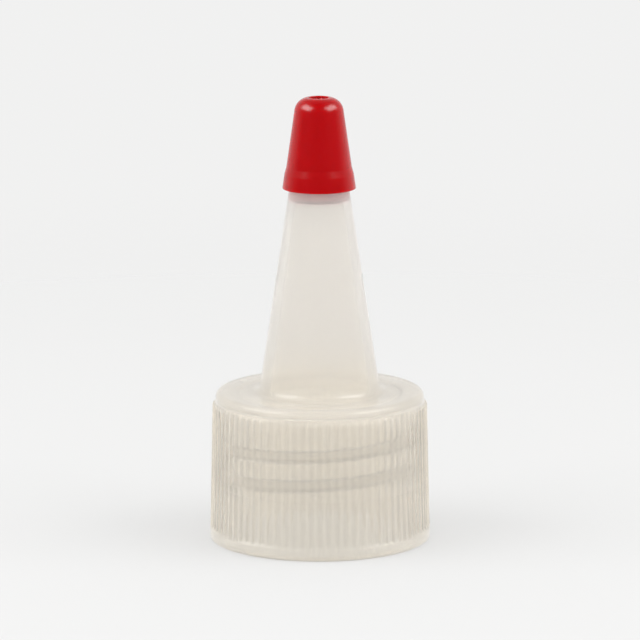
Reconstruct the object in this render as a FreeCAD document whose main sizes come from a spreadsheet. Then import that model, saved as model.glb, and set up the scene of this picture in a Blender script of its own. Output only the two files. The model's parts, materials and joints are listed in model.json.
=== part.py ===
import FreeCAD, Part
import os
import Sketcher

# A screw-on dispensing cap for a 28 mm bottle neck: a ribbed skirt, a flat roof and a cone spout in one
# moulding, closed by a push-on sealing tip. +Z is up along the axis, and the origin is the centre of the
# skirt's lower rim. Millimetres throughout.

DIMENSIONS = [
    # Skirt, outside
    ("rim_radius", 16.0, "outer radius of the plain band round the lower rim"),
    ("band_height", 1.75, "height of that band"),
    ("band_step", 0.08, "how far the band stands out of the rib crests, with a bevel as high"),
    ("rib_top_height", 19.65, "height where the ribs start to bevel away"),
    ("rib_top_radius", 15.52, "crest radius of the ribs at that height"),
    ("rib_bevel", 0.45, "how far the ribs stand out of the shoulder, and the height of their bevel"),
    ("rim_rounding", 0.4, "rounding of the lower outer edge"),
    ("roof_height", 21.7, "height of the roof's upper face"),
    ("roof_rounding", 0.9, "rounding of the roof's outer edge"),
    ("rib_count", 80, "ribs round the skirt"),
    ("groove_depth", 0.42, "depth of the groove between two ribs, and the height of its sloping lower end"),
    ("groove_mouth", 0.94, "width of the groove at the rib crests"),
    ("groove_floor", 0.56, "width of the groove's floor"),
    # Skirt, inside
    ("socket_radius", 14.15, "inner wall, which clears the neck's thread"),
    ("entry_radius", 14.35, "plain wall below the thread"),
    ("entry_height", 8.0, "height where that wall ends, in a bevel to the inner wall"),
    ("leadin", 0.4, "chamfer at the mouth of the socket"),
    ("roof_thickness", 1.5, "thickness of the roof"),
    ("socket_fillet", 0.5, "fillet between the inner wall and the roof"),
    ("bead_radius", 11.6, "mean radius of the sealing bead under the roof"),
    ("bead_width", 0.8, "width of the bead where it meets the roof"),
    ("bead_crest", 0.3, "width of the bead's crest"),
    ("bead_depth", 0.55, "how far the bead stands down from the roof"),
    # Thread
    ("thread_pitch", 4.233, "rise in one turn, six turns to the inch"),
    ("thread_turns", 1.6, "length of the thread in turns"),
    ("thread_depth", 1.2, "how far the thread stands in from the inner wall"),
    ("thread_root", 2.0, "axial width at the wall"),
    ("thread_crest", 0.9, "axial width at the crest"),
    ("thread_embed", 0.3, "how far the profile runs into the wall"),
    ("thread_start_height", 9.5, "height of the profile's middle where the thread starts"),
    ("thread_start_angle", 165.0, "turn about +Z, from +X, where the thread starts"),
    # Spout
    ("spout_root_radius", 8.74, "radius of the cone where it meets the roof"),
    ("nose_radius", 2.7, "radius of the cone at its tip"),
    ("nose_height", 62.2, "height of the nose's end face"),
    ("nose_rounding", 0.3, "rounding of the nose's outer edge"),
    ("spout_fillet", 1.4, "fillet between the cone and the roof"),
    ("bore_root_radius", 7.68, "radius of the spout's bore at the roof's lower face"),
    ("bore_mouth_rounding", 0.5, "rounding of the bore's lower edge"),
    ("bore_top_radius", 3.5, "radius of the bore at its upper end"),
    ("bore_top_height", 49.6, "height of that upper end"),
    ("throat_radius", 1.3, "radius where the throat leaves the bore"),
    ("outlet_radius", 0.8, "radius of the outlet"),
    ("outlet_length", 3.0, "length of the straight outlet"),
    # Sealing tip
    ("tip_bottom", 51.35, "height of the tip's lower rim, pushed home"),
    ("tip_top", 64.5, "height of the tip's end face"),
    ("collar_rim_radius", 5.3, "outer radius of the collar at the rim"),
    ("collar_top_radius", 4.99, "outer radius at the top of the collar"),
    ("collar_height", 2.1, "height of the collar"),
    ("flare_height", 1.0, "height of the slope from the collar to the tip's body"),
    ("body_low_radius", 4.71, "radius of the tip's body just above the flare"),
    ("body_top_radius", 3.27, "radius its side would have at the end face"),
    ("tip_rounding", 2.3, "rounding of the tip's upper edge"),
    ("tip_fit", 0.05, "radial clearance between the spout and the tip"),
    ("tip_gap", 0.15, "gap between the nose and the tip's ceiling"),
    ("pin_radius", 0.7, "radius of the plug pin"),
    ("pin_length", 2.0, "length of the plug pin"),
    ("dimple_radius", 1.4, "radius of the gate dimple on top"),
    ("dimple_depth", 0.55, "depth of the dimple"),
    ("gate_radius", 0.4, "radius of the gate mark in the dimple"),
    ("gate_height", 0.28, "height of the gate mark"),
    # Cutting profiles
    ("overcut", 0.3, "how far a cutting profile runs past the face that it opens"),
    ("groove_start", 0.01, "depth at which a groove starts, at the top of the band"),
]

SAME_PLACE = 1e-3  # how near two lengths are that count as the same
PATTERN_SLACK = 0.02  # share by which the grooves may differ from the first one times their number

doc = FreeCAD.newDocument("dispensing_cap")


def make_sheet():
    """The driving dimensions: alias, value and note, one to a row."""
    sheet = doc.addObject("Spreadsheet::Sheet", "dims")
    for row, (alias, value, note) in enumerate(DIMENSIONS, start=1):
        sheet.set("A%d" % row, note)
        sheet.set("B%d" % row, str(value))
        sheet.setAlias("B%d" % row, alias)
    doc.recompute()
    return sheet


sheet = make_sheet()
ALIASES = sorted((alias for alias, _, _ in DIMENSIONS), key=len, reverse=True)


def bound(expression):
    """The expression with every alias written as a reference to the sheet."""
    words, word = [], ""
    for letter in expression + " ":
        if letter.isalnum() or letter == "_":
            word += letter
            continue
        words.append("dims." + word if word in ALIASES else word)
        words.append(letter)
        word = ""
    return "".join(words).strip()


def number(expression):
    """The expression's present value."""
    return float(doc.dims.evalExpression(expression))


def origin_feature(body, role):
    return next(item for item in body.Origin.OriginFeatures if item.Role == role)


def new_body(label):
    body = doc.addObject("PartDesign::Body", label)
    body.Label = label
    body.Placement = FreeCAD.Placement()
    return body


def outline_sketch(body, name, role, points, height=None, turn=None):
    """A closed outline of straight runs whose corners are (across, up) pairs of sheet expressions. It lies
    this high over its plane, or is turned by this angle about the plane's upright axis."""
    sketch = body.newObject("Sketcher::SketchObject", name)
    sketch.AttachmentSupport = [(origin_feature(body, role), "")]
    sketch.MapMode = "FlatFace"
    if height:
        sketch.setExpression("AttachmentOffset.Base.z", bound(height))
    if turn:
        upright = FreeCAD.Rotation(FreeCAD.Vector(0, 1, 0), number(turn))
        sketch.AttachmentOffset = FreeCAD.Placement(FreeCAD.Vector(0, 0, 0), upright)
        sketch.setExpression("AttachmentOffset.Rotation.Angle", bound(turn) + " * 1 deg")
    corners = [FreeCAD.Vector(number(across), number(up), 0) for across, up in points]
    count = len(corners)
    for index, corner in enumerate(corners):
        sketch.addGeometry(Part.LineSegment(corner, corners[(index + 1) % count]))
    for index, (across, up) in enumerate(points):
        sketch.addConstraint(Sketcher.Constraint("Coincident", index, 2, (index + 1) % count, 1))
        for kind, expression, axis in (("DistanceX", across, -2), ("DistanceY", up, -1)):
            value = number(expression)
            if value == 0:
                sketch.addConstraint(Sketcher.Constraint("PointOnObject", index, 1, axis))
                continue
            place = sketch.addConstraint(Sketcher.Constraint(kind, index, 1, value))
            sketch.setExpression("Constraints[%d]" % place, bound(expression))
    return sketch


def revolve(body, sketch):
    feature = body.newObject("PartDesign::Revolution", sketch.Name + "_turned")
    feature.Profile = sketch
    feature.ReferenceAxis = (sketch, ["V_Axis"])
    feature.Angle = 360
    sketch.Visibility = False
    doc.recompute()
    return feature


def circle_edges(shape, radius, height):
    """The names of the circular edges about +Z with this radius at this height."""
    found = []
    for index, edge in enumerate(shape.Edges, start=1):
        curve = edge.Curve
        if not isinstance(curve, Part.Circle):
            continue
        if abs(curve.Radius - radius) < SAME_PLACE and abs(curve.Center.z - height) < SAME_PLACE:
            found.append("Edge%d" % index)
    return found


def round_edge(body, radius, height, rounding):
    """Fillet the circular edge at this radius and height (sheet expressions)."""
    base = body.Tip
    names = circle_edges(base.Shape, number(radius), number(height))
    if len(names) != 1:
        raise RuntimeError("no single edge at %s, %s" % (radius, height))
    feature = body.newObject("PartDesign::Fillet", "round_" + rounding)
    feature.Base = (base, names)
    feature.setExpression("Radius", bound(rounding))
    doc.recompute()
    return feature


CONE_TAPER = "(spout_root_radius - nose_radius)/(nose_height - roof_height)"
RIB_FOOT = "rim_radius - band_step"
SHOULDER = "rib_top_radius - rib_bevel"
ROOF_UNDERSIDE = "roof_height - roof_thickness"


def make_spout_cap():
    body = new_body("spout_cap")
    section = [
        ("entry_radius + leadin", "0"),
        ("rim_radius", "0"),
        ("rim_radius", "band_height - band_step"),
        (RIB_FOOT, "band_height"),
        ("rib_top_radius", "rib_top_height"),
        (SHOULDER, "rib_top_height + rib_bevel"),
        (SHOULDER, "roof_height"),
        ("spout_root_radius", "roof_height"),
        ("nose_radius", "nose_height"),
        ("outlet_radius", "nose_height"),
        ("outlet_radius", "nose_height - outlet_length"),
        ("throat_radius", "bore_top_height"),
        ("bore_top_radius", "bore_top_height"),
        ("bore_root_radius", ROOF_UNDERSIDE),
        ("bead_radius - bead_width/2", ROOF_UNDERSIDE),
        ("bead_radius - bead_crest/2", ROOF_UNDERSIDE + " - bead_depth"),
        ("bead_radius + bead_crest/2", ROOF_UNDERSIDE + " - bead_depth"),
        ("bead_radius + bead_width/2", ROOF_UNDERSIDE),
        ("socket_radius", ROOF_UNDERSIDE),
        ("socket_radius", "entry_height + entry_radius - socket_radius"),
        ("entry_radius", "entry_height"),
        ("entry_radius", "leadin"),
    ]
    revolve(body, outline_sketch(body, "cap_section", "XZ_Plane", section))
    round_edge(body, "rim_radius", "0", "rim_rounding")
    round_edge(body, SHOULDER, "roof_height", "roof_rounding")
    round_edge(body, "spout_root_radius", "roof_height", "spout_fillet")
    round_edge(body, "nose_radius", "nose_height", "nose_rounding")
    round_edge(body, "bore_root_radius", ROOF_UNDERSIDE, "bore_mouth_rounding")
    round_edge(body, "socket_radius", ROOF_UNDERSIDE, "socket_fillet")
    add_thread(body)
    cut_ribs(body)
    return body


def add_thread(body):
    """A right-hand trapezoid ridge wound up the inner wall."""
    crest = "socket_radius - thread_depth"
    wall = "socket_radius + thread_embed"
    # The flanks keep their slope through the stretch that lies in the wall.
    half_wall = "(thread_root/2 + (thread_root - thread_crest)/2*thread_embed/thread_depth)"
    section = [
        (crest, "thread_start_height - thread_crest/2"),
        (wall, "thread_start_height - " + half_wall),
        (wall, "thread_start_height + " + half_wall),
        (crest, "thread_start_height + thread_crest/2"),
    ]
    sketch = outline_sketch(body, "thread_section", "XZ_Plane", section, turn="thread_start_angle")
    before = body.Tip.Shape.Volume
    ridge = body.newObject("PartDesign::AdditiveHelix", "thread")
    ridge.Profile = sketch
    ridge.ReferenceAxis = (sketch, ["V_Axis"])
    ridge.Mode = 0
    ridge.setExpression("Pitch", bound("thread_pitch"))
    ridge.setExpression("Height", bound("thread_pitch*thread_turns"))
    ridge.LeftHanded = False
    doc.recompute()
    if not ridge.Shape.Volume > before:
        raise RuntimeError("the thread added nothing")


def groove_section(body, name, depth, height, crest):
    """The groove's outline at one height: a floor this deep below the rib crests, and flanks that open
    out."""
    flank_slope = "(groove_mouth - groove_floor)/groove_depth"
    half_floor = "(groove_mouth - %s*%s)/2" % (flank_slope, depth)
    half_outside = "(groove_mouth + %s*overcut)/2" % flank_slope
    floor = "%s - %s" % (crest, depth)
    outside = "%s + overcut" % crest
    corners = [
        (floor, "-1*" + half_floor),
        (outside, "-1*" + half_outside),
        (outside, half_outside),
        (floor, half_floor),
    ]
    return outline_sketch(body, name, "XY_Plane", corners, height=height)


def cut_ribs(body):
    """Grooves that follow the skirt's taper and leave the ribs: each rises out at a slope just above the
    band, and runs out over the shoulder at the top."""
    taper = "(%s - rib_top_radius)/(rib_top_height - band_height)" % RIB_FOOT
    crest = RIB_FOOT + " - %s*({0})" % taper
    sections = [
        groove_section(body, "groove_foot", "groove_start", "band_height", RIB_FOOT),
        groove_section(
            body, "groove_low", "groove_depth", "band_height + groove_depth", crest.format("groove_depth")
        ),
        groove_section(
            body,
            "groove_high",
            "groove_depth",
            "rib_top_height + rib_bevel",
            crest.format("rib_top_height + rib_bevel - band_height"),
        ),
    ]
    before = body.Tip.Shape.Volume
    groove = body.newObject("PartDesign::SubtractiveLoft", "groove")
    groove.Profile = sections[0]
    groove.Sections = sections[1:]
    groove.Ruled = True
    doc.recompute()
    single = before - groove.Shape.Volume
    ring = body.newObject("PartDesign::PolarPattern", "ribs")
    ring.Originals = [groove]
    ring.Axis = (origin_feature(body, "Z_Axis"), [""])
    ring.Angle = 360
    ring.setExpression("Occurrences", bound("rib_count"))
    body.Tip = ring
    doc.recompute()
    removed = before - ring.Shape.Volume
    print("groove %.3f mm3, all grooves %.2f mm3" % (single, removed))
    if abs(removed - single * number("rib_count")) > PATTERN_SLACK * removed:
        raise RuntimeError("the rib pattern is incomplete")


def make_sealing_tip():
    body = new_body("sealing_tip")
    ceiling = "nose_height + tip_gap"
    section = [
        ("nose_radius + tip_fit + %s*(nose_height - tip_bottom)" % CONE_TAPER, "tip_bottom"),
        ("collar_rim_radius", "tip_bottom"),
        ("collar_top_radius", "tip_bottom + collar_height"),
        ("body_low_radius", "tip_bottom + collar_height + flare_height"),
        ("body_top_radius", "tip_top"),
        ("0", "tip_top"),
        ("0", ceiling + " - pin_length"),
        ("pin_radius", ceiling + " - pin_length"),
        ("pin_radius", ceiling),
        ("nose_radius + tip_fit - %s*tip_gap" % CONE_TAPER, ceiling),
    ]
    revolve(body, outline_sketch(body, "tip_section", "XZ_Plane", section))
    round_edge(body, "body_top_radius", "tip_top", "tip_rounding")
    cut_dimple(body)
    return body


def cut_dimple(body):
    """The round gate dimple in the end face, with the gate's stub standing in it."""
    above = "tip_top + overcut"
    floor = "tip_top - dimple_depth"
    section = [
        ("dimple_radius", above),
        ("dimple_radius", floor),
        ("gate_radius", floor),
        ("gate_radius", floor + " + gate_height"),
        ("0", floor + " + gate_height"),
        ("0", above),
    ]
    before = body.Tip.Shape.Volume
    sketch = outline_sketch(body, "dimple_section", "XZ_Plane", section)
    dimple = body.newObject("PartDesign::Groove", "dimple")
    dimple.Profile = sketch
    dimple.ReferenceAxis = (sketch, ["V_Axis"])
    dimple.Angle = 360
    doc.recompute()
    if not dimple.Shape.Volume < before:
        raise RuntimeError("the dimple cut nothing")


def check(bodies):
    for item in doc.Objects:
        if "Invalid" in item.State or "Error" in item.State:
            raise RuntimeError("%s failed: %s" % (item.Label, item.State))
    for body in bodies:
        shape = body.Shape
        if shape.isNull() or not shape.isValid() or len(shape.Solids) != 1:
            raise RuntimeError(body.Label + " isn't one valid solid")
        print("%s: %.1f mm3" % (body.Label, shape.Volume))


bodies = [make_spout_cap(), make_sealing_tip()]
doc.recompute()
check(bodies)
os.makedirs("parts", exist_ok=True)
for body in bodies:
    body.Shape.exportStep("parts/%s.step" % body.Label)
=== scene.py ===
import json
import math

import bmesh
import bpy
import numpy as np
from mathutils import Matrix, Vector

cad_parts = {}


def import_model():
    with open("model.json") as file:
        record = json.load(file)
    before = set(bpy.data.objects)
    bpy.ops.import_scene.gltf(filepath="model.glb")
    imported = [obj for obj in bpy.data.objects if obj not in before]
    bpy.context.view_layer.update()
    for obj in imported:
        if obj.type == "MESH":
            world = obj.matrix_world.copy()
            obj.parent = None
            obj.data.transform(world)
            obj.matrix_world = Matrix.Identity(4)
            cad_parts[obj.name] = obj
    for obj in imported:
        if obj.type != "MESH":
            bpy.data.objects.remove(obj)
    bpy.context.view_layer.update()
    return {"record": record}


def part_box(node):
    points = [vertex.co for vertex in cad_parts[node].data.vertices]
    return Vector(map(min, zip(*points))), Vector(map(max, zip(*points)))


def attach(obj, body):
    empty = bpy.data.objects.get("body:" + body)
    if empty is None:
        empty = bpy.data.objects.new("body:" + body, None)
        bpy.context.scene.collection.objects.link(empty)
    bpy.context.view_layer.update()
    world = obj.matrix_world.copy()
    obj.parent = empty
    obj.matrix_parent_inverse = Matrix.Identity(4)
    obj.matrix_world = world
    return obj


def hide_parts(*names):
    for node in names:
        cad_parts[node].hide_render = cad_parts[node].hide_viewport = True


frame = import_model()

# Everything below is in millimetres until a mesh is written, which is in metres. The driving sizes come
# from the frame's boxes, and the rest repeat the design's own named dimensions.
MM = 0.001
CAP_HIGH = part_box("spout_cap")[1] / MM
TIP_LOW, TIP_HIGH = (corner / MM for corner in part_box("sealing_tip"))
RECORD = frame["record"]

RIM_RADIUS = round(CAP_HIGH.x, 2)
NOSE_HEIGHT = round(CAP_HIGH.z, 2)
TIP_BOTTOM = round(TIP_LOW.z, 2)
TIP_TOP = round(TIP_HIGH.z, 2)
COLLAR_RIM_RADIUS = round(TIP_HIGH.x, 2)

# Skirt, outside
BAND_HEIGHT = 1.75
BAND_STEP = 0.08
RIM_ROUNDING = 0.4
RIB_FOOT_RADIUS = RIM_RADIUS - BAND_STEP
RIB_TOP_RADIUS = 15.52
RIB_TOP_HEIGHT = 19.65
RIB_BEVEL = 0.45
SHOULDER_RADIUS = RIB_TOP_RADIUS - RIB_BEVEL
ROOF_HEIGHT = 21.7
ROOF_ROUNDING = 0.9
RIB_COUNT = 80
GROOVE_DEPTH = 0.42
GROOVE_MOUTH = 0.94
GROOVE_FLOOR = 0.56

# Skirt, inside
ENTRY_RADIUS = next(m for m in RECORD["mounts"] if m["name"] == "neck_socket")["dims"]["r_mm"]
ENTRY_HEIGHT = 8.0
SOCKET_RADIUS = 14.15
LEADIN = 0.4
ROOF_THICKNESS = 1.5
ROOF_UNDERSIDE = ROOF_HEIGHT - ROOF_THICKNESS
SOCKET_FILLET = 0.5
BEAD_RADIUS = 11.6
BEAD_WIDTH = 0.8
BEAD_DEPTH = 0.55
THREAD_PITCH = 4.233
THREAD_TURNS = 1.6
THREAD_DEPTH = 1.2
THREAD_ROOT = 2.0
THREAD_CREST = 0.9
THREAD_START_HEIGHT = 9.5
THREAD_START_ANGLE = math.radians(165.0)
THREAD_FADE = math.radians(7.0)

# Spout
SPOUT_ROOT_RADIUS = 8.74
NOSE_RADIUS = 2.7
NOSE_ROUNDING = 0.3
SPOUT_FILLET = 1.4
BORE_ROOT_RADIUS = 7.68
BORE_MOUTH_ROUNDING = 0.5
BORE_TOP_RADIUS = 3.5
BORE_TOP_HEIGHT = 49.6
THROAT_RADIUS = 1.3
OUTLET_RADIUS = 0.8
OUTLET_LENGTH = 3.0

# Sealing tip
COLLAR_TOP_RADIUS = 4.99
COLLAR_HEIGHT = 2.1
FLARE_HEIGHT = 1.0
BODY_LOW_RADIUS = 4.71
BODY_TOP_RADIUS = 3.27
TIP_ROUNDING = 2.3
TIP_FIT = 0.05
TIP_GAP = 0.15
PIN_RADIUS = 0.7
PIN_LENGTH = 2.0
DIMPLE_RADIUS = 1.4
DIMPLE_DEPTH = 0.55
GATE_RADIUS = 0.4
GATE_HEIGHT = 0.28
GATE_TEAR = 0.22

# How finely the meshes are cut
COLUMNS = 320
THREAD_STEP = 0.11
SHARP_ANGLE = math.radians(38)


# ---------------------------------------------------------------- outlines

def rounded(corners):
    """An outline in (radius, height) from corners (radius, height, rounding, steps): each corner with a
    rounding becomes a tangent arc of that many steps."""
    outline = []
    last = len(corners) - 1
    for index, (radius, height, rounding, steps) in enumerate(corners):
        here = np.array([radius, height], float)
        if rounding == 0 or index in (0, last):
            outline.append(here)
            continue
        before = np.array(corners[index - 1][:2], float) - here
        after = np.array(corners[index + 1][:2], float) - here
        before /= np.linalg.norm(before)
        after /= np.linalg.norm(after)
        half = math.acos(np.clip(before @ after, -1, 1)) / 2
        bisector = (before + after) / np.linalg.norm(before + after)
        centre = here + bisector * rounding / math.sin(half)
        start = here + before * rounding / math.tan(half) - centre
        end = here + after * rounding / math.tan(half) - centre
        sweep = math.atan2(start[0] * end[1] - start[1] * end[0], start @ end)
        for step in range(steps + 1):
            turn = sweep * step / steps
            cos, sin = math.cos(turn), math.sin(turn)
            spoke = np.array([start[0] * cos - start[1] * sin, start[0] * sin + start[1] * cos])
            outline.append(centre + spoke)
    return outline


def divided(start, end, longest):
    """Points after start up to end, no further apart than longest."""
    start, end = np.array(start, float), np.array(end, float)
    steps = max(1, math.ceil(np.linalg.norm(end - start) / longest))
    return [start + (end - start) * step / steps for step in range(1, steps + 1)]


class Skin:
    """A closed surface built ring by ring about +Z."""

    def __init__(self):
        self.points = []
        self.faces = []
        self.last = None
        self.first = None

    def ring(self, radii, heights, angles):
        start = len(self.points)
        radii = np.broadcast_to(radii, angles.shape)
        heights = np.broadcast_to(heights, angles.shape)
        for radius, height, angle in zip(radii, heights, angles):
            self.points.append((radius * math.cos(angle), radius * math.sin(angle), height))
        made = list(range(start, len(self.points)))
        if self.last is None:
            self.first = made
        else:
            self.bridge(self.last, made)
        self.last = made

    def bridge(self, low, high):
        """Quads between two rings, or fans where one has a whole number of times as many points."""
        few, many = (low, high) if len(low) <= len(high) else (high, low)
        share = len(many) // len(few)
        for index in range(len(few)):
            here, there = few[index], few[(index + 1) % len(few)]
            fan = [many[(index * share + step) % len(many)] for step in range(share + 1)]
            if share == 1:
                self.faces.append((here, there, fan[1], fan[0]))
                continue
            middle = share // 2
            for step in range(share):
                pivot = here if step < middle else there
                self.faces.append((pivot, fan[step + 1], fan[step]))
            self.faces.append((here, there, fan[middle]))

    def pole(self, ring, height):
        centre = len(self.points)
        self.points.append((0.0, 0.0, height))
        for index in range(len(ring)):
            self.faces.append((ring[index], ring[(index + 1) % len(ring)], centre))

    def build(self, name, body, material):
        mesh = bpy.data.meshes.new(name)
        mesh.from_pydata([tuple(c * MM for c in point) for point in self.points], [], self.faces)
        shaped = bmesh.new()
        shaped.from_mesh(mesh)
        bmesh.ops.recalc_face_normals(shaped, faces=shaped.faces)
        shaped.to_mesh(mesh)
        shaped.free()
        mesh.shade_smooth()
        mesh.set_sharp_from_angle(angle=SHARP_ANGLE)
        mesh.materials.append(material)
        piece = bpy.data.objects.new(name, mesh)
        bpy.context.scene.collection.objects.link(piece)
        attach(piece, body)
        return piece


PLAIN_ANGLES = np.arange(COLUMNS) * 2 * math.pi / COLUMNS


# ---------------------------------------------------------------- spout cap

def cone_radius(height):
    """Outer radius of the spout's cone."""
    share = (height - ROOF_HEIGHT) / (NOSE_HEIGHT - ROOF_HEIGHT)
    return SPOUT_ROOT_RADIUS + (NOSE_RADIUS - SPOUT_ROOT_RADIUS) * share


def rib_places():
    """One rib's columns as (arc from the groove's middle in mm, depth share): crest, rounded lip, flank,
    rounded foot and floor, mirrored."""
    pitch = 2 * math.pi * RIM_RADIUS / RIB_COUNT
    mouth, floor = GROOVE_MOUTH / 2, GROOVE_FLOOR / 2
    lip, foot = 0.05, 0.09
    flank = mouth - floor
    side = [
        (pitch / 2, 0.0),
        (mouth + lip, 0.0),
        (mouth, 0.10),
        (mouth - flank * 0.35, 0.40),
        (mouth - flank * 0.70, 0.75),
        (floor - foot * 0.3, 0.93),
        (floor - foot * 1.4, 0.99),
        (floor * 0.25, 1.0),
    ]
    left = [(-arc, depth) for arc, depth in side]
    right = [(arc, depth) for arc, depth in reversed(side[1:])]
    return left + [(0.0, 1.0)] + right


def ribbed_rings(skin):
    """The skirt from the band up to the shoulder. A groove's lower end slopes out at 45 degrees, and the
    ribs' upper ends are bevelled down to the shoulder."""
    places = rib_places()
    arcs = np.array([arc for arc, _ in places])
    depths = np.array([depth for _, depth in places]) * GROOVE_DEPTH
    ribs = np.repeat(np.arange(RIB_COUNT), len(places))
    angles = ribs * 2 * math.pi / RIB_COUNT + np.tile(arcs, RIB_COUNT) / RIM_RADIUS
    depths = np.tile(depths, RIB_COUNT)
    bevel_top = RIB_TOP_HEIGHT + RIB_BEVEL
    taper = (RIB_FOOT_RADIUS - RIB_TOP_RADIUS) / (RIB_TOP_HEIGHT - BAND_HEIGHT)
    foot = [BAND_HEIGHT + GROOVE_DEPTH * share for share in (0, 0.1, 0.25, 0.4, 0.55, 0.7, 0.85, 1, 1.15)]
    wall = [height for _, height in divided((0, foot[-1]), (0, RIB_TOP_HEIGHT - 0.06), 2.2)]
    head = [RIB_TOP_HEIGHT + RIB_BEVEL * share for share in (0, 0.14, 0.28, 0.42, 0.56, 0.7, 0.84, 0.94)]
    for height in foot + wall + head:
        crest = RIB_FOOT_RADIUS - taper * (height - BAND_HEIGHT)
        depth = np.minimum(depths, max(0.0, height - BAND_HEIGHT))
        bevel = SHOULDER_RADIUS + max(0.0, bevel_top - height)
        skin.ring(np.minimum(crest - depth, bevel), height, angles)
    skin.ring(SHOULDER_RADIUS, bevel_top, angles)


def thread_inset(angles, height):
    """How far the thread stands in from the socket's wall at these angles and this height."""
    inset = np.zeros_like(angles)
    length = THREAD_TURNS * 2 * math.pi
    for turn in range(3):
        along = angles - THREAD_START_ANGLE + 2 * math.pi * (turn - 1)
        middle = THREAD_START_HEIGHT + THREAD_PITCH * along / (2 * math.pi)
        away = np.abs(height - middle)
        flank = (THREAD_ROOT - THREAD_CREST) / 2
        share = np.clip((THREAD_ROOT / 2 - away) / flank, 0, 1)
        ends = np.clip(np.minimum(along, length - along) / THREAD_FADE, 0, 1)
        eased = share * share * (3 - 2 * share) * 0.5 + share * 0.5
        inset = np.maximum(inset, eased * ends * THREAD_DEPTH)
    return inset


def outer_outline():
    """Roof, spout, nose, outlet, throat, bore and the roof's lower face, down to the socket's wall."""
    corners = [
        (SHOULDER_RADIUS, RIB_TOP_HEIGHT + RIB_BEVEL, 0, 0),
        (SHOULDER_RADIUS, ROOF_HEIGHT, ROOF_ROUNDING, 12),
        (SPOUT_ROOT_RADIUS, ROOF_HEIGHT, SPOUT_FILLET, 14),
        (NOSE_RADIUS, NOSE_HEIGHT, NOSE_ROUNDING, 5),
        (OUTLET_RADIUS, NOSE_HEIGHT, 0.1, 3),
        (OUTLET_RADIUS, NOSE_HEIGHT - OUTLET_LENGTH, 0, 0),
        (THROAT_RADIUS, BORE_TOP_HEIGHT, 0.15, 3),
        (BORE_TOP_RADIUS, BORE_TOP_HEIGHT, 0.35, 6),
        (BORE_ROOT_RADIUS, ROOF_UNDERSIDE, BORE_MOUTH_ROUNDING, 7),
        (BEAD_RADIUS - BEAD_WIDTH / 2, ROOF_UNDERSIDE, 0.1, 3),
        (BEAD_RADIUS, ROOF_UNDERSIDE - BEAD_DEPTH, 0.15, 5),
        (BEAD_RADIUS + BEAD_WIDTH / 2, ROOF_UNDERSIDE, 0.1, 3),
        (SOCKET_RADIUS, ROOF_UNDERSIDE, SOCKET_FILLET, 7),
        (SOCKET_RADIUS, THREAD_START_HEIGHT, 0, 0),
    ]
    return rounded(corners)[1:-1]


def spout_cap(material):
    skin = Skin()
    rim = [
        (ENTRY_RADIUS + LEADIN, 0.0, 0, 0),
        (RIM_RADIUS, 0.0, RIM_ROUNDING, 8),
        (RIM_RADIUS, BAND_HEIGHT - BAND_STEP, 0.06, 3),
        (RIB_FOOT_RADIUS, BAND_HEIGHT, 0, 0),
    ]
    for radius, height in rounded(rim)[:-1]:
        skin.ring(radius, height, PLAIN_ANGLES)
    ribbed_rings(skin)
    outline = outer_outline()
    for start, end in zip(outline, outline[1:]):
        skin.ring(start[0], start[1], PLAIN_ANGLES)
        between = divided(start, end, 3.0)[:-1]
        for radius, height in between:
            skin.ring(radius, height, PLAIN_ANGLES)
    skin.ring(outline[-1][0], outline[-1][1], PLAIN_ANGLES)
    thread_top = THREAD_START_HEIGHT + THREAD_PITCH * THREAD_TURNS + THREAD_ROOT
    thread_foot = THREAD_START_HEIGHT - THREAD_ROOT / 2
    for _, height in divided((0, thread_top), (0, thread_foot), THREAD_STEP):
        inset = thread_inset(PLAIN_ANGLES, height)
        skin.ring(SOCKET_RADIUS - inset, height, PLAIN_ANGLES)
    skin.ring(SOCKET_RADIUS, ENTRY_HEIGHT + ENTRY_RADIUS - SOCKET_RADIUS, PLAIN_ANGLES)
    skin.ring(ENTRY_RADIUS, ENTRY_HEIGHT, PLAIN_ANGLES)
    for _, height in divided((0, ENTRY_HEIGHT), (0, LEADIN), 2.0):
        skin.ring(ENTRY_RADIUS, height, PLAIN_ANGLES)
    skin.bridge(skin.last, skin.first)
    piece = skin.build("spout_cap_moulding", "cap", material)
    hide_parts("spout_cap")


# ---------------------------------------------------------------- sealing tip

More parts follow.
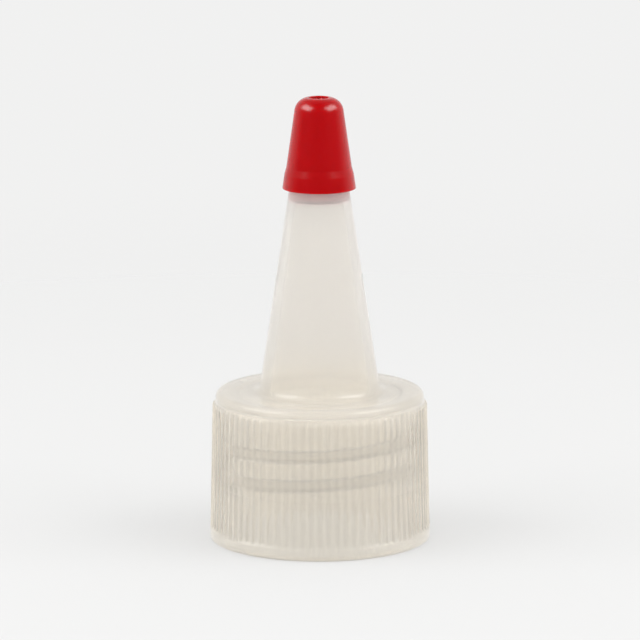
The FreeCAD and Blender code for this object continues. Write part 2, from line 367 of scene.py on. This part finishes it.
def sealing_tip(material):
    """From the gate's stub in the dimple, over the outside, and up the inside to the plug pin."""
    ceiling = NOSE_HEIGHT + TIP_GAP
    floor = TIP_TOP - DIMPLE_DEPTH
    stub = floor + GATE_HEIGHT
    corners = [
        (GATE_RADIUS, stub, 0, 0),
        (GATE_RADIUS, floor, 0.12, 3),
        (DIMPLE_RADIUS - 0.05, floor, 0.15, 4),
        (DIMPLE_RADIUS, TIP_TOP, 0.06, 3),
        (BODY_TOP_RADIUS, TIP_TOP + 0.004, TIP_ROUNDING - 0.2, 20),
        (BODY_LOW_RADIUS, TIP_BOTTOM + COLLAR_HEIGHT + FLARE_HEIGHT, 1.6, 6),
        (COLLAR_TOP_RADIUS, TIP_BOTTOM + COLLAR_HEIGHT, 1.0, 6),
        (COLLAR_RIM_RADIUS, TIP_BOTTOM, 0.08, 4),
        (cone_radius(TIP_BOTTOM) + TIP_FIT, TIP_BOTTOM, 0.06, 3),
        (cone_radius(ceiling) + TIP_FIT, ceiling, 0.25, 5),
        (PIN_RADIUS, ceiling, 0.1, 3),
        (PIN_RADIUS, ceiling - PIN_LENGTH, 0.2, 5),
        (0.0, ceiling - PIN_LENGTH, 0, 0),
    ]
    outline = rounded(corners)[1:-1]
    skin = Skin()
    torn = np.maximum(0, np.sin(2 * PLAIN_ANGLES + 0.5)) ** 2 + 0.35 * np.sin(7 * PLAIN_ANGLES) ** 2
    for share, lift in ((0.45, 0.0), (0.72, 0.5), (0.95, 1.0), (1.1, 0.55)):
        radii = GATE_RADIUS * share * (1 + 0.12 * np.sin(5 * PLAIN_ANGLES + 1))
        skin.ring(radii, stub + GATE_TEAR * (torn * lift - 0.3), PLAIN_ANGLES)
    for start, end in zip(outline, outline[1:] + [outline[-1]]):
        skin.ring(start[0], start[1], PLAIN_ANGLES)
        if start is not outline[-1]:
            for radius, height in divided(start, end, 1.5)[:-1]:
                skin.ring(radius, height, PLAIN_ANGLES)
    skin.pole(skin.first, stub - 0.4 * GATE_TEAR)
    skin.pole(skin.last, ceiling - PIN_LENGTH)
    piece = skin.build("sealing_tip_moulding", "tip", material)
    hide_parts("sealing_tip")
    return piece


# ---------------------------------------------------------------- materials

def new_material(name):
    material = bpy.data.materials.new(name)
    material.use_nodes = True
    nodes, links = material.node_tree.nodes, material.node_tree.links
    nodes.clear()
    return material, nodes, links


def add(nodes, kind, **values):
    node = nodes.new(kind)
    for name, value in values.items():
        setattr(node, name, value)
    return node


# Chosen against the photo: these aren't measured properties of polyethylene.
PLASTIC_IOR = 1.34
CLOUD_LIGHT = (0.992, 0.957, 0.886, 1)
CLOUD_DARK = (0.988, 0.948, 0.872, 1)
# Painted shade: the spout is tinted cooler and slightly darker than the skirt, faded in above the roof,
# for the way light passes through its thinner wall.
SPOUT_PAINTED_SHADE_COLOUR = (0.966, 0.942, 0.902, 1)
SPOUT_FADE = (ROOF_HEIGHT - 1.0, ROOF_HEIGHT + 9.0)
# Painted light: pink just under the tip, for the red light that the tip passes into the plastic there.
PAINTED_RED_LIGHT_COLOUR = (1.0, 0.70, 0.70, 1)
UNDER_TIP_START = BORE_TOP_HEIGHT - 0.6
UNDER_TIP_END = TIP_BOTTOM + 0.8
HAZE_DENSITY = 450.0
HAZE_FORWARD = 0.7
ABSORBED_COLOUR = (0.566, 0.38, 0.2, 1)
ABSORBED_DENSITY = 20.0
GRAIN_HEIGHT = 0.00005


def natural_polyethylene():
    """Milky plastic that light passes through. Just under the tip it is painted pink, for the red light
    that the tip passes on in the photo; the band stays when the tip is lifted."""
    material, nodes, links = new_material("natural_polyethylene")
    out = add(nodes, "ShaderNodeOutputMaterial")
    shader = add(nodes, "ShaderNodeBsdfPrincipled")
    place = add(nodes, "ShaderNodeTexCoord")
    cloud = add(nodes, "ShaderNodeTexNoise")
    cloud.inputs["Scale"].default_value = 110.0
    cloud.inputs["Detail"].default_value = 3.0
    cloudy = add(nodes, "ShaderNodeMix", data_type="RGBA")
    cloudy.inputs["A"].default_value = CLOUD_LIGHT
    cloudy.inputs["B"].default_value = CLOUD_DARK
    parts = add(nodes, "ShaderNodeSeparateXYZ")
    rise = add(nodes, "ShaderNodeMapRange", interpolation_type="SMOOTHSTEP")
    rise.inputs["From Min"].default_value = SPOUT_FADE[0] * MM
    rise.inputs["From Max"].default_value = SPOUT_FADE[1] * MM
    # Painted shade on the spout: a cooler, slightly darker tint mixed in by height.
    spout_painted_shade = add(nodes, "ShaderNodeMix", data_type="RGBA")
    spout_painted_shade.inputs["B"].default_value = SPOUT_PAINTED_SHADE_COLOUR
    # Painted light: a pink band that rises towards the tip's lower edge and fades out just above it.
    nearing = add(nodes, "ShaderNodeMapRange", interpolation_type="SMOOTHSTEP")
    nearing.inputs["From Min"].default_value = UNDER_TIP_START * MM
    nearing.inputs["From Max"].default_value = TIP_BOTTOM * MM
    hidden = add(nodes, "ShaderNodeMapRange", interpolation_type="SMOOTHSTEP")
    hidden.inputs["From Min"].default_value = TIP_BOTTOM * MM
    hidden.inputs["From Max"].default_value = UNDER_TIP_END * MM
    hidden.inputs["To Min"].default_value = 1.0
    hidden.inputs["To Max"].default_value = 0.0
    band = add(nodes, "ShaderNodeMath", operation="MULTIPLY")
    tint = add(nodes, "ShaderNodeMix", data_type="RGBA")
    tint.inputs["B"].default_value = PAINTED_RED_LIGHT_COLOUR
    fine = add(nodes, "ShaderNodeTexNoise")
    fine.inputs["Scale"].default_value = 2600.0
    fine.inputs["Detail"].default_value = 2.0
    bump = add(nodes, "ShaderNodeBump")
    bump.inputs["Strength"].default_value = 0.05
    bump.inputs["Distance"].default_value = GRAIN_HEIGHT
    links.new(place.outputs["Object"], cloud.inputs["Vector"])
    links.new(place.outputs["Object"], fine.inputs["Vector"])
    links.new(cloud.outputs["Fac"], cloudy.inputs["Factor"])
    links.new(place.outputs["Object"], parts.inputs["Vector"])
    links.new(parts.outputs["Z"], rise.inputs["Value"])
    links.new(rise.outputs["Result"], spout_painted_shade.inputs["Factor"])
    links.new(cloudy.outputs["Result"], spout_painted_shade.inputs["A"])
    links.new(parts.outputs["Z"], nearing.inputs["Value"])
    links.new(parts.outputs["Z"], hidden.inputs["Value"])
    links.new(nearing.outputs["Result"], band.inputs[0])
    links.new(hidden.outputs["Result"], band.inputs[1])
    links.new(band.outputs["Value"], tint.inputs["Factor"])
    links.new(spout_painted_shade.outputs["Result"], tint.inputs["A"])
    links.new(tint.outputs["Result"], shader.inputs["Base Color"])
    links.new(fine.outputs["Fac"], bump.inputs["Height"])
    links.new(bump.outputs["Normal"], shader.inputs["Normal"])
    shader.inputs["Roughness"].default_value = 0.12
    shader.inputs["IOR"].default_value = PLASTIC_IOR
    shader.inputs["Specular IOR Level"].default_value = 0.7
    shader.inputs["Transmission Weight"].default_value = 0.77
    haze = add(nodes, "ShaderNodeVolumeScatter")
    haze.inputs["Color"].default_value = (1, 1, 1, 1)
    haze.inputs["Density"].default_value = HAZE_DENSITY
    haze.inputs["Anisotropy"].default_value = HAZE_FORWARD
    depth = add(nodes, "ShaderNodeVolumeAbsorption")
    depth.inputs["Color"].default_value = ABSORBED_COLOUR
    depth.inputs["Density"].default_value = ABSORBED_DENSITY
    inside = add(nodes, "ShaderNodeAddShader")
    links.new(haze.outputs["Volume"], inside.inputs[0])
    links.new(depth.outputs["Volume"], inside.inputs[1])
    links.new(inside.outputs["Shader"], out.inputs["Volume"])
    links.new(shader.outputs["BSDF"], out.inputs["Surface"])
    return material


def red_polyethylene():
    """Opaque red plastic that light enters a little way."""
    material, nodes, links = new_material("red_polyethylene")
    out = add(nodes, "ShaderNodeOutputMaterial")
    shader = add(nodes, "ShaderNodeBsdfPrincipled")
    place = add(nodes, "ShaderNodeTexCoord")
    cloud = add(nodes, "ShaderNodeTexNoise")
    cloud.inputs["Scale"].default_value = 400.0
    cloud.inputs["Detail"].default_value = 4.0
    tint = add(nodes, "ShaderNodeMix", data_type="RGBA")
    tint.inputs["A"].default_value = (0.32, 0.0001, 0.002, 1)
    tint.inputs["B"].default_value = (0.30, 0.0001, 0.001, 1)
    fine = add(nodes, "ShaderNodeTexNoise")
    fine.inputs["Scale"].default_value = 3000.0
    bump = add(nodes, "ShaderNodeBump")
    bump.inputs["Strength"].default_value = 0.25
    bump.inputs["Distance"].default_value = GRAIN_HEIGHT
    links.new(place.outputs["Object"], cloud.inputs["Vector"])
    links.new(place.outputs["Object"], fine.inputs["Vector"])
    links.new(cloud.outputs["Fac"], tint.inputs["Factor"])
    links.new(tint.outputs["Result"], shader.inputs["Base Color"])
    links.new(fine.outputs["Fac"], bump.inputs["Height"])
    links.new(bump.outputs["Normal"], shader.inputs["Normal"])
    shader.inputs["Roughness"].default_value = 0.2
    shader.inputs["IOR"].default_value = PLASTIC_IOR
    shader.inputs["Subsurface Weight"].default_value = 0.8
    shader.inputs["Subsurface Radius"].default_value = (1.0, 0.03, 0.03)
    shader.inputs["Subsurface Scale"].default_value = 0.002
    links.new(shader.outputs["BSDF"], out.inputs["Surface"])
    return material


# ---------------------------------------------------------------- studio

# Lengths here are in metres and softbox strengths in watts.
BACKDROP = 0.88
ROOM_FRONT = 1.9
ROOM_BACK = 1.6
ROOM_OVERHEAD = 0.45
REFLECTED_FRONT = 0.05
REFLECTED_BACK = 0.92
TABLE_ALBEDO = 0.33
TABLE_GLOW = 0.385
SOFTBOX_LIGHT = 1.1
SOFTBOX_SHINE = 3.4
TIP_SHINE = 4.0
SOFTBOX_SIZE = (0.45, 0.25)
SOFTBOX_DISTANCE = 0.50
SOFTBOX_ELEVATION = math.radians(42)
SOFTBOX_AZIMUTH = 75
FLOOR_REACH = 0.4
FLOOR_FADE = (0.10, 0.30)
FLOOR_DROP = 0.00002
PAPER_BLUE = 0.995
LIGHT_BOUNCES = 28
HAZE_BOUNCES = 14


def floor():
    """A light table that fades into the backdrop, and isn't seen from underneath."""
    material, nodes, links = new_material("studio_floor")
    out = add(nodes, "ShaderNodeOutputMaterial")
    paper = add(nodes, "ShaderNodeBsdfDiffuse")
    paper.inputs["Color"].default_value = (TABLE_ALBEDO, TABLE_ALBEDO, TABLE_ALBEDO * PAPER_BLUE, 1)
    glow = add(nodes, "ShaderNodeEmission")
    glow.inputs["Color"].default_value = (1, 1, PAPER_BLUE, 1)
    glow.inputs["Strength"].default_value = TABLE_GLOW
    table = add(nodes, "ShaderNodeAddShader")
    clear = add(nodes, "ShaderNodeBsdfTransparent")
    place = add(nodes, "ShaderNodeTexCoord")
    away = add(nodes, "ShaderNodeVectorMath", operation="LENGTH")
    fade = add(nodes, "ShaderNodeMapRange", interpolation_type="SMOOTHSTEP")
    fade.inputs["From Min"].default_value = FLOOR_FADE[0]
    fade.inputs["From Max"].default_value = FLOOR_FADE[1]
    under = add(nodes, "ShaderNodeNewGeometry")
    most = add(nodes, "ShaderNodeMath", operation="MAXIMUM")
    mix = add(nodes, "ShaderNodeMixShader")
    links.new(place.outputs["Object"], away.inputs[0])
    links.new(away.outputs["Value"], fade.inputs["Value"])
    links.new(fade.outputs["Result"], most.inputs[0])
    links.new(under.outputs["Backfacing"], most.inputs[1])
    links.new(most.outputs["Value"], mix.inputs["Fac"])
    links.new(paper.outputs["BSDF"], table.inputs[0])
    links.new(glow.outputs["Emission"], table.inputs[1])
    links.new(table.outputs["Shader"], mix.inputs[1])
    links.new(clear.outputs["BSDF"], mix.inputs[2])
    links.new(mix.outputs["Shader"], out.inputs["Surface"])
    mesh = bpy.data.meshes.new("studio_floor")
    reach = FLOOR_REACH
    corners = [(-reach, -reach, 0), (reach, -reach, 0), (reach, reach, 0), (-reach, reach, 0)]
    mesh.from_pydata(corners, [], [(0, 1, 2, 3)])
    mesh.materials.append(material)
    plane = bpy.data.objects.new("studio_floor", mesh)
    plane.location.z = -FLOOR_DROP
    plane.visible_glossy = False
    bpy.context.scene.collection.objects.link(plane)


def world():
    """A pale backdrop. The room's light is dimmer overhead, and the part in front hardly shows in
    reflections, so that the highlights come from the softboxes."""
    made = bpy.data.worlds.new("studio")
    made.use_nodes = True
    made.cycles.sampling_method = "NONE"
    nodes, links = made.node_tree.nodes, made.node_tree.links
    nodes.clear()
    out = add(nodes, "ShaderNodeOutputWorld")
    backdrop = add(nodes, "ShaderNodeBackground")
    backdrop.inputs["Color"].default_value = (BACKDROP, BACKDROP, BACKDROP * PAPER_BLUE, 1)
    room = add(nodes, "ShaderNodeBackground")
    room.inputs["Color"].default_value = (1, 1, 1, 1)
    way = add(nodes, "ShaderNodeTexCoord")
    parts = add(nodes, "ShaderNodeSeparateXYZ")
    level = add(nodes, "ShaderNodeMapRange", interpolation_type="SMOOTHSTEP")
    level.inputs["From Min"].default_value = -0.35
    level.inputs["From Max"].default_value = 0.45
    front = add(nodes, "ShaderNodeMapRange")
    front.inputs["To Min"].default_value = ROOM_FRONT
    front.inputs["To Max"].default_value = REFLECTED_FRONT
    back = add(nodes, "ShaderNodeMapRange")
    back.inputs["To Min"].default_value = ROOM_BACK
    back.inputs["To Max"].default_value = REFLECTED_BACK
    overhead = add(nodes, "ShaderNodeMapRange", interpolation_type="SMOOTHSTEP")
    overhead.inputs["From Min"].default_value = 0.2
    overhead.inputs["From Max"].default_value = 0.9
    overhead.inputs["To Min"].default_value = 1.0
    overhead.inputs["To Max"].default_value = ROOM_OVERHEAD
    glow = add(nodes, "ShaderNodeMath", operation="MULTIPLY")
    path = add(nodes, "ShaderNodeLightPath")
    mix = add(nodes, "ShaderNodeMixShader")
    links.new(way.outputs["Generated"], parts.inputs["Vector"])
    links.new(parts.outputs["Y"], level.inputs["Value"])
    links.new(path.outputs["Is Glossy Ray"], front.inputs["Value"])
    links.new(path.outputs["Is Glossy Ray"], back.inputs["Value"])
    links.new(front.outputs["Result"], level.inputs["To Min"])
    links.new(back.outputs["Result"], level.inputs["To Max"])
    links.new(parts.outputs["Z"], overhead.inputs["Value"])
    links.new(level.outputs["Result"], glow.inputs[0])
    links.new(overhead.outputs["Result"], glow.inputs[1])
    links.new(glow.outputs["Value"], room.inputs["Strength"])
    links.new(path.outputs["Is Camera Ray"], mix.inputs["Fac"])
    links.new(room.outputs["Background"], mix.inputs[1])
    links.new(backdrop.outputs["Background"], mix.inputs[2])
    links.new(mix.outputs["Shader"], out.inputs["Surface"])
    bpy.context.scene.world = made


def softbox(name, azimuth, lit):
    """A rectangular light aimed at the object, with two more in its place that only reflections show: one
    for everything, and one for the pieces in lit. Azimuth 0 is in front, and positive is to the right."""
    turn, rise = math.radians(azimuth), SOFTBOX_ELEVATION
    way = Vector((math.sin(turn) * math.cos(rise), -math.cos(turn) * math.cos(rise), math.sin(rise)))
    aim = Vector((0, 0, TIP_TOP / 2 * MM))
    for part, energy in (("light", SOFTBOX_LIGHT), ("shine", SOFTBOX_SHINE), ("tip_shine", TIP_SHINE)):
        light = bpy.data.lights.new(name + "_" + part, "AREA")
        light.shape = "RECTANGLE"
        light.size, light.size_y = SOFTBOX_SIZE
        light.energy = energy
        lamp = bpy.data.objects.new(name + "_" + part, light)
        bpy.context.scene.collection.objects.link(lamp)
        lamp.location = aim + way * SOFTBOX_DISTANCE
        lamp.rotation_euler = way.to_track_quat("Z", "Y").to_euler()
        if part != "light":
            lamp.visible_diffuse = lamp.visible_transmission = lamp.visible_volume_scatter = False
        if part == "tip_shine":
            lamp.light_linking.receiver_collection = lit


def camera():
    """A long lens from a little above: the rim's centre lies below the middle of the picture."""
    elevation = math.radians(11.5)
    distance = 0.807
    raised = 0.03135
    shifted = 0.00007
    lean = math.radians(0.155)
    data = bpy.data.cameras.new("photo_view")
    data.sensor_width = 36.0
    data.lens = 312.2
    data.clip_start = 0.05
    data.clip_end = 20.0
    rig = bpy.data.objects.new("photo_view", data)
    bpy.context.scene.collection.objects.link(rig)
    back = Vector((0, -math.cos(elevation), math.sin(elevation)))
    up = Vector((0, math.sin(elevation), math.cos(elevation)))
    side = Vector((1, 0, 0))
    rig.location = back * distance + up * raised + side * shifted
    facing = Matrix((side, up, back)).transposed()
    rig.rotation_euler = (facing @ Matrix.Rotation(-lean, 3, "Z")).to_euler()
    bpy.context.scene.camera = rig


spout_cap(natural_polyethylene())
tip = sealing_tip(red_polyethylene())
floor()
world()
shiny = bpy.data.collections.new("shiny")
shiny.objects.link(tip)
softbox("softbox_left", -SOFTBOX_AZIMUTH, shiny)
softbox("softbox_right", SOFTBOX_AZIMUTH, shiny)
camera()
scene = bpy.context.scene
scene.view_settings.view_transform = "Standard"
scene.cycles.max_bounces = scene.cycles.transmission_bounces = LIGHT_BOUNCES
scene.cycles.volume_bounces = HAZE_BOUNCES
